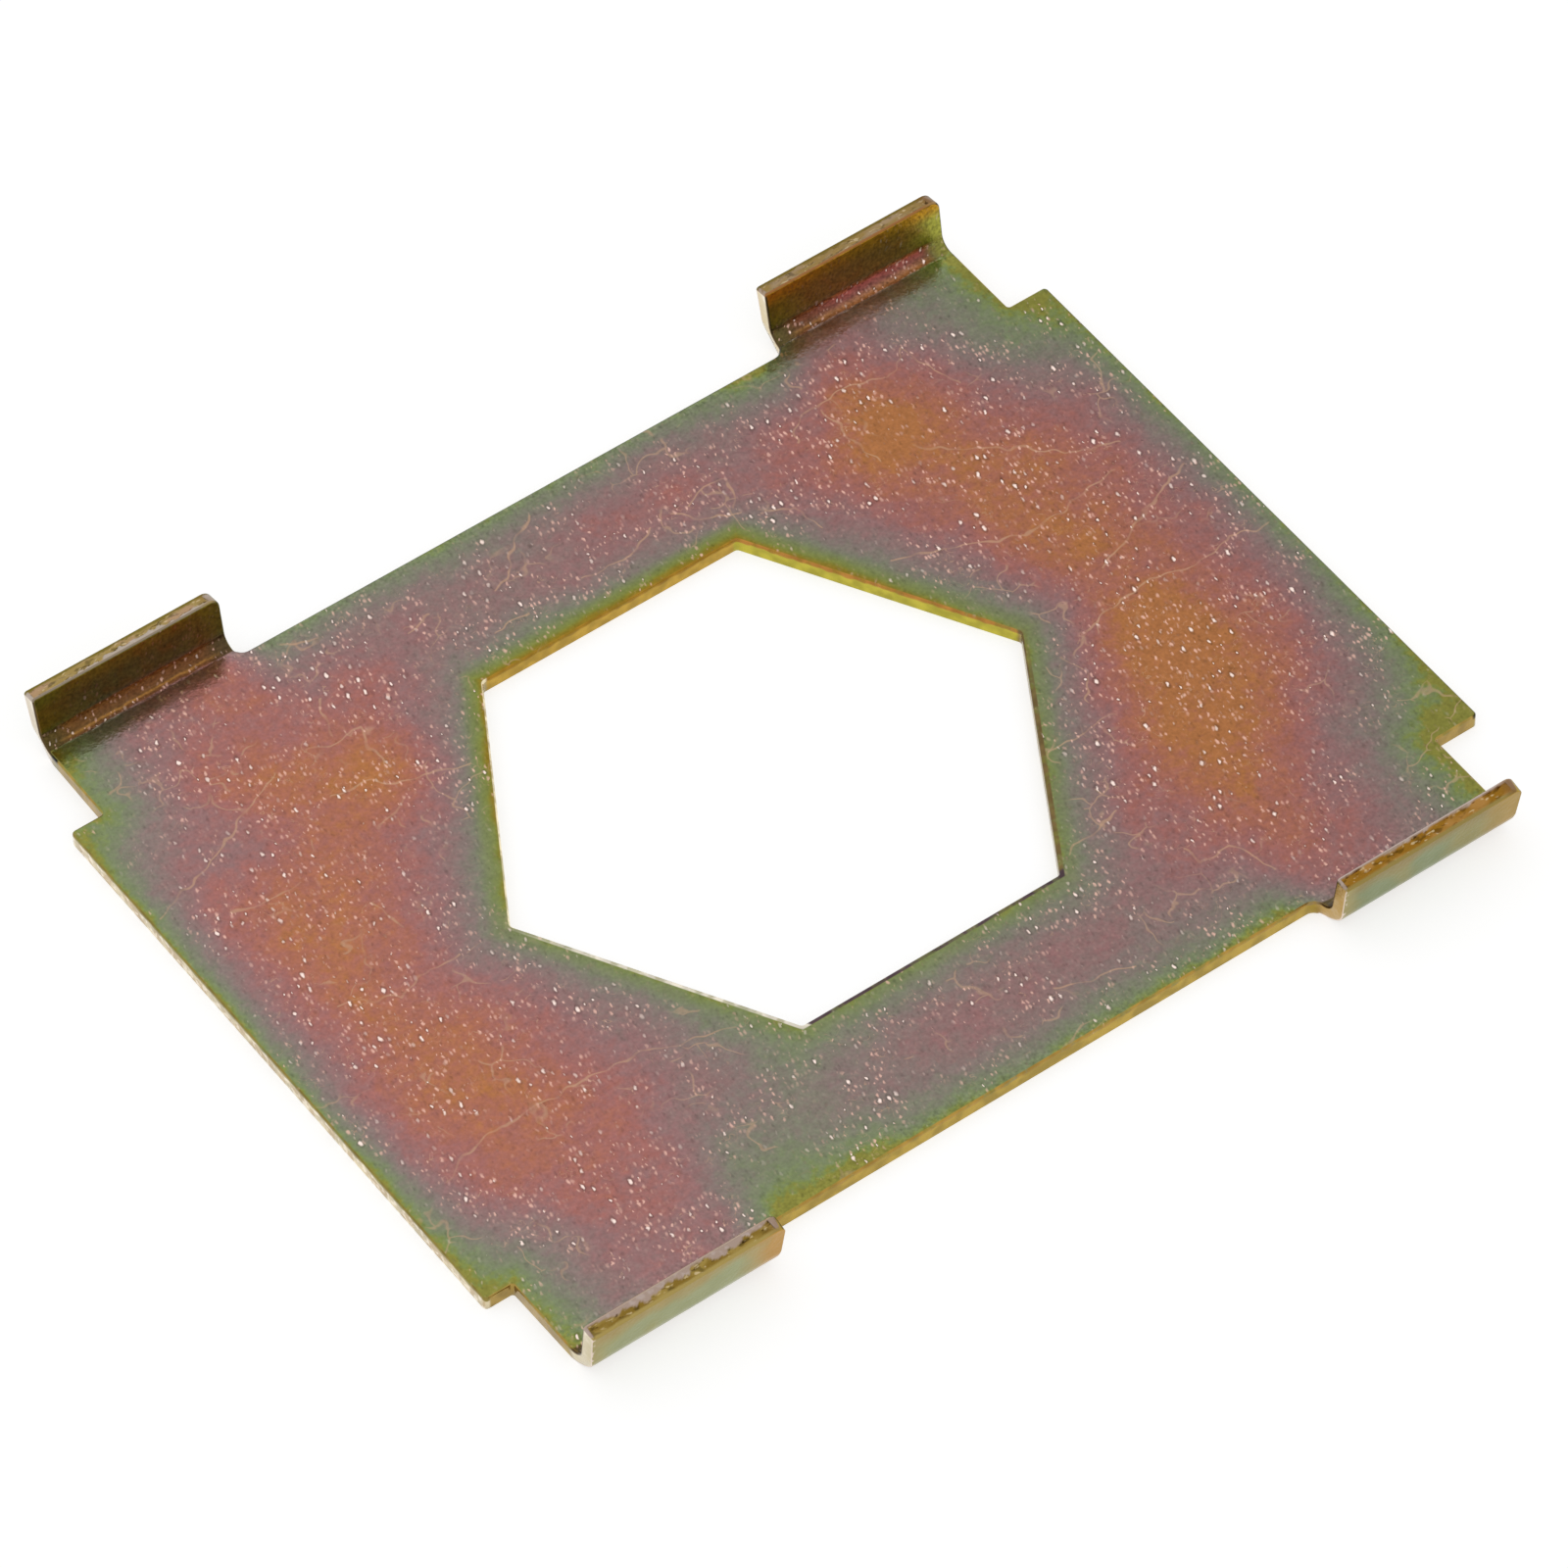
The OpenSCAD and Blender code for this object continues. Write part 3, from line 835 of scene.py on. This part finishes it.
def torn_ends_of_tabs(tree, at, face, rim):
    """The ends of the tabs: a smooth grey band with painted glints, a torn brown one with painted
    shade in its hollows, and a paler rim.
    """
    long_place = add(tree, "VectorMath", (at.blank, (0.6, 1.0, 1.3)), operation="MULTIPLY")
    rip = lay_over(tree, fade(tree, grain(tree, long_place, 1.0), 0.46, 0.64),
                   by_tab(tree, at, "torn"), by_tab(tree, at, "torn in places"))
    # Painted shade in the hollows of the torn band
    painted_hollow_shade = fade(tree, grain(tree, long_place, 0.45), 0.30, 0.44, 0.55, 1.0)
    crumb = fade(tree, grain(tree, long_place, 0.28), 0.60, 0.72)
    rip = lay_over(tree, product(tree, (crumb, 0.6)), dim(tree, rip, painted_hollow_shade), "#d8c49a")
    smooth = by_tab(tree, at, "sheared")
    # Painted glints on the smooth band
    smooth = lay_over(tree, product(tree, (at.glint, 0.3)), smooth, "#c9bcb8")
    torn = add(tree, "Attribute", attribute_name="torn", out="Fac")
    end = lay_over(tree, torn, smooth, rip)
    end = lay_over(tree, fade(tree, at.z, 0.42, 0.16), end, rim)
    worn = fade(tree, at.right, 0.0, 1.0, 0.35, 0.75)
    worn = product(tree, (fade(tree, at.side, 7.4, 8.8), worn))
    end = lay_over(tree, worn, end, "#7e5c36")
    arris = product(tree, (fade(tree, at.side, 7.2, 8.8), 0.7))
    arris = lay_over(tree, arris, by_tab(tree, at, "inner arris"), rip)
    at_top = fade(tree, at.across, TAB_TOP - 0.34, TAB_TOP - 0.26)
    on_arris = product(tree, (at_top, fade(tree, at.z, SHEET - 0.01, SHEET - 0.06)))
    face = lay_over(tree, on_arris, face, arris)
    on_end = product(tree, (at_top, fade(tree, at.z, SHEET - 0.16, SHEET - 0.24)))
    return lay_over(tree, on_end, face, end)


def outside_of_tabs(tree, at, face, rim):
    """The outer faces of the tabs are pale green, and golden towards their ends and rims, with a
    painted highlight on the outer arris at the left and a line of painted shade low down by the
    bend.
    """
    soft = add(tree, "Math", (grain(tree, at.blank, 2.0), 3.0, -1.5), operation="MULTIPLY_ADD")
    to_top = add(tree, "Math", (at.across, soft), operation="ADD")
    to_side = add(tree, "Math", (at.side, soft), operation="ADD")
    pale = lay_over(tree, fade(tree, grain(tree, at.blank, 4.0), 0.44, 0.60),
                    by_tab(tree, at, "outer face"), by_tab(tree, at, "outer face in places"))
    pale = lay_over(tree, fade(tree, to_top, TAB_TOP - 2.4, TAB_TOP - 0.2), pale, rim)
    gold = by_tab(tree, at, "right end")
    pale = lay_over(tree, fade(tree, to_side, 4.8, 8.6), pale, gold)
    pale = lay_over(tree, fade(tree, to_side, -7.5, -10.0), pale, "#a4965a")
    # A painted highlight on the outer arris at the left end
    left_arris = product(tree, (fade(tree, at.side, -9.15, -9.4), at.glint))
    pale = lay_over(tree, left_arris, pale, PALE_ARRIS)
    # A line of painted shade low down by the bend
    low = product(tree, (fade(tree, at.across, BEND_START + 2.2, BEND_START + 1.6), 0.7))
    pale = lay_over(tree, low, pale, "#866840")
    outside = product(tree, (fade(tree, at.z, 0.05, 0.01),
                             fade(tree, at.across, BEND_START, BEND_START + 1.2)))
    return lay_over(tree, outside, face, pale)


def yellow_chromate():
    """Zinc plating under a yellow chromate film: the thickness of the film sets its colour,
    from olive where it is thin through grey and mauve to orange-brown where it is thick.
    Pickling left the zinc faintly pitted, and its gloss a little uneven."""
    material, tree, output = new_material("yellow_chromated_zinc")
    at = places_on_blank(tree)
    film = film_thickness(tree, at)
    face = shades(tree, film, FILM_COLOURS)
    face = brown_beside_hexagon(tree, at, face)
    add_places_on_tabs(tree, at)
    face = inside_of_tabs(tree, at, face)
    face = rubbed_bends(tree, at, face)
    zinc = crystals_with_painted_glints(tree, at, film)
    face = dim(tree, face, painted_light_and_mottle(tree, at, zinc))
    face = worn_marks_and_painted_glints(tree, at, zinc, face)
    face = cut_edges(tree, at, face)
    face = cut_sides_of_tabs(tree, at, face)
    rim = by_tab(tree, at, "rim")
    face = torn_ends_of_tabs(tree, at, face, rim)
    face = outside_of_tabs(tree, at, face, rim)
    gloss = fade(tree, grain(tree, at.blank, 1.5), 0.3, 0.7, 0.17, 0.25)
    gloss = add(tree, "Math", (at.on_tab, 0.12, gloss), operation="MULTIPLY_ADD")
    worked = fade(tree, at.across, BEND_START - 0.5, BEND_START + 1.0, 0.4, 1.0)
    pits = {"Strength": worked, "Distance": 0.035 * MM, "Height": grain(tree, at.blank, 0.3)}
    pits = add(tree, "Bump", pits, out="Normal")
    surface = {"Base Color": face, "Metallic": 1, "Roughness": gloss, "Normal": pits}
    tree.links.new(add(tree, "BsdfPrincipled", surface), output.inputs["Surface"])
    return material


def seen_white(tree):
    """1 for what the camera sees, in metal and through glass as well, and 0 for what only
    gives light."""
    rays = add(tree, "LightPath").node.outputs
    seen = add(tree, "Math", (rays["Is Camera Ray"], rays["Is Glossy Ray"]), operation="MAXIMUM")
    return add(tree, "Math", (seen, rays["Is Transmission Ray"]), operation="MAXIMUM")


def pale_floor():
    """Smooth white table that shows white to the camera and in the metal, and takes shadow."""
    material, tree, output = new_material("white_table")
    strength = add(tree, "Math", (seen_white(tree), TABLE_GLOW), operation="MULTIPLY")
    glow = add(tree, "Emission", {"Color": "#ffffff", "Strength": strength})
    table = add(tree, "BsdfDiffuse", {"Color": "#cfcfcf"})
    both = add(tree, "AddShader", (glow, table))
    tree.links.new(both, output.inputs["Surface"])
    return material


def add_floor():
    """The table that the plate lies on."""
    bpy.ops.mesh.primitive_plane_add(size=6)
    floor = bpy.context.object
    floor.name = "floor"
    floor.data.materials.append(pale_floor())


def add_light():
    """Even soft light from all round, on a white background."""
    world = bpy.data.worlds.new("studio")
    bpy.context.scene.world = world
    world.use_nodes = True
    tree = world.node_tree
    tree.nodes.clear()
    output = tree.nodes.new("ShaderNodeOutputWorld")
    strength = {"Value": seen_white(tree), "To Min": SOFT_LIGHT, "To Max": WHITE}
    strength = add(tree, "MapRange", strength)
    light = add(tree, "Background", {"Color": "#ffffff", "Strength": strength})
    tree.links.new(light, output.inputs["Surface"])


def add_camera():
    """The photograph's view: a long lens from the near left, above the plate."""
    data = bpy.data.cameras.new("camera")
    data.sensor_width, data.lens = CAMERA_SENSOR, CAMERA_LENS
    data.clip_start, data.clip_end = 0.05, 10
    camera = bpy.data.objects.new("camera", data)
    bpy.context.collection.objects.link(camera)
    camera.location = CAMERA_PLACE * MM
    camera.rotation_mode = "QUATERNION"
    look = (CAMERA_AIM - CAMERA_PLACE).to_track_quat("-Z", "Y")
    camera.rotation_quaternion = look @ Quaternion((0, 0, 1), CAMERA_ROLL)
    bpy.context.scene.camera = camera


bpy.ops.object.select_all(action="DESELECT")
sheet = flat_blank()
punch_hexagon(sheet)
round_arrises()
tear_tab_ends(sheet)
fold_tabs(sheet)
finish_mesh(sheet, "chromated_sheet", yellow_chromate())
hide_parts("lock_plate")

add_camera()
add_floor()
add_light()

bpy.context.scene.view_settings.view_transform = "Standard"
